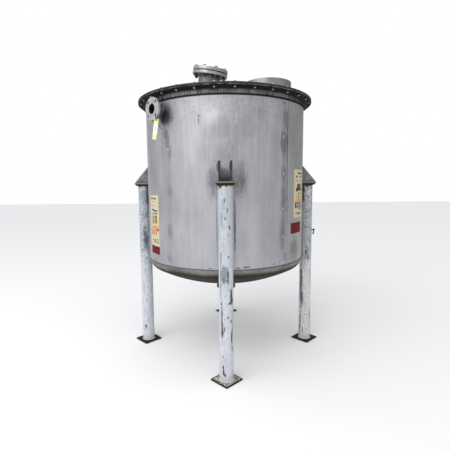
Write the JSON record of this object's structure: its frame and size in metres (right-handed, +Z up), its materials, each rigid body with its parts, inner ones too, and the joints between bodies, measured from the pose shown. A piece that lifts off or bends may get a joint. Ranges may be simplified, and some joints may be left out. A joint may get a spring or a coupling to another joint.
{
  "type": "vertical storage tank",
  "caption": "Upright stainless steel tank with a dished bottom, flat bolted lid, open manway collar, blanked angled nozzle and side branch, standing on painted pipe legs.",
  "frame": {"origin": "on the floor, under the tank's upright axis", "axes": "+Z up along the tank's axis, -Y towards the front leg, +X to the right of it"},
  "size_m": [1.911, 1.911, 2.789],
  "materials": {
    "brushed_stainless": "ground and brushed up and down, streaked and stained",
    "dull_stainless": "dull, weathered",
    "machined_stainless": "machined, bright",
    "white_paint": "chipped and scuffed brushed-on paint",
    "rusty_steel": "rusty, dark",
    "black_rubber": "matte",
    "bolt_steel": "weathered zinc",
    "label_film": "faded plastic film",
    "tag_plastic": "plain plastic tag"
  },
  "bodies": {
    "root": {"shell_panel_1": "brushed_stainless", "shell_panel_2": "brushed_stainless", "shell_panel_3": "brushed_stainless", "shell_panel_4": "brushed_stainless", "shell_panel_5": "brushed_stainless", "shell_panel_6": "brushed_stainless", "shell_panel_7": "brushed_stainless", "bottom_head": "brushed_stainless", "rim_ring": "dull_stainless", "rim_gasket": "black_rubber", "lid": "dull_stainless", "manway_collar": "brushed_stainless", "roof_neck": "dull_stainless", "roof_flange": "machined_stainless", "roof_gasket": "black_rubber", "blind_flange": "machined_stainless", "side_neck": "dull_stainless", "side_flange": "machined_stainless", "drain_neck": "dull_stainless", "drain_flange": "machined_stainless", "leg_1": "white_paint", "leg_2": "white_paint", "leg_3": "white_paint", "leg_4": "white_paint", "foot_plate_1": "rusty_steel", "foot_plate_2": "rusty_steel", "foot_plate_3": "rusty_steel", "foot_plate_4": "rusty_steel", "leg_cap_1": "rusty_steel", "leg_cap_2": "rusty_steel", "leg_cap_3": "rusty_steel", "leg_cap_4": "rusty_steel", "lug_plate_1": "dull_stainless", "lug_plate_2": "dull_stainless", "lug_plate_3": "dull_stainless", "lug_plate_4": "dull_stainless", "lug_gusset_1a": "dull_stainless", "lug_gusset_1b": "dull_stainless", "lug_gusset_2a": "dull_stainless", "lug_gusset_2b": "dull_stainless", "lug_gusset_3a": "dull_stainless", "lug_gusset_3b": "dull_stainless", "lug_gusset_4a": "dull_stainless", "lug_gusset_4b": "dull_stainless"}
  },
  "joints": []
}
